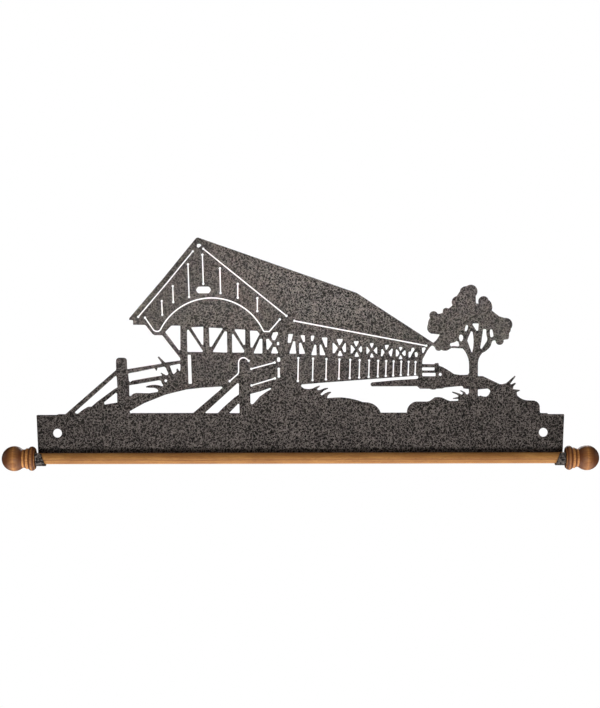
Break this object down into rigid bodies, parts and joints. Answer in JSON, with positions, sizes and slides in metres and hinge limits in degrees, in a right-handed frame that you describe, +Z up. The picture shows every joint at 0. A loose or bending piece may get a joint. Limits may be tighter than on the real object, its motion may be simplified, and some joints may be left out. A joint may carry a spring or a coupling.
{
  "type": "wall hanger for a quilt or banner",
  "caption": "Steel plate cut out as a covered bridge scene, hung on a wall by screws, with hooks below it that hold a wooden rod with ball finials for a quilt or banner.",
  "frame": {"origin": "on the plate's back face, halfway between the two screw holes", "axes": "+X along the rod towards the viewer's right, +Y into the wall, +Z up; the front faces -Y"},
  "size_m": [0.681, 0.0307, 0.2671],
  "materials": {
    "coated_steel": "textured powder coat",
    "stained_dowel": "satin",
    "stained_finial": "satin varnish"
  },
  "bodies": {
    "header": {"header_plate": "coated_steel", "hook_left": "coated_steel", "hook_right": "coated_steel"},
    "rod": {"dowel": "stained_dowel", "finial_left": "stained_finial", "finial_right": "stained_finial"}
  },
  "joints": [
    {"name": "rod_lift", "type": "slide", "parent": "header", "child": "rod", "axis": [0, 0, 1], "range_m": [0, 0.025]}
  ]
}
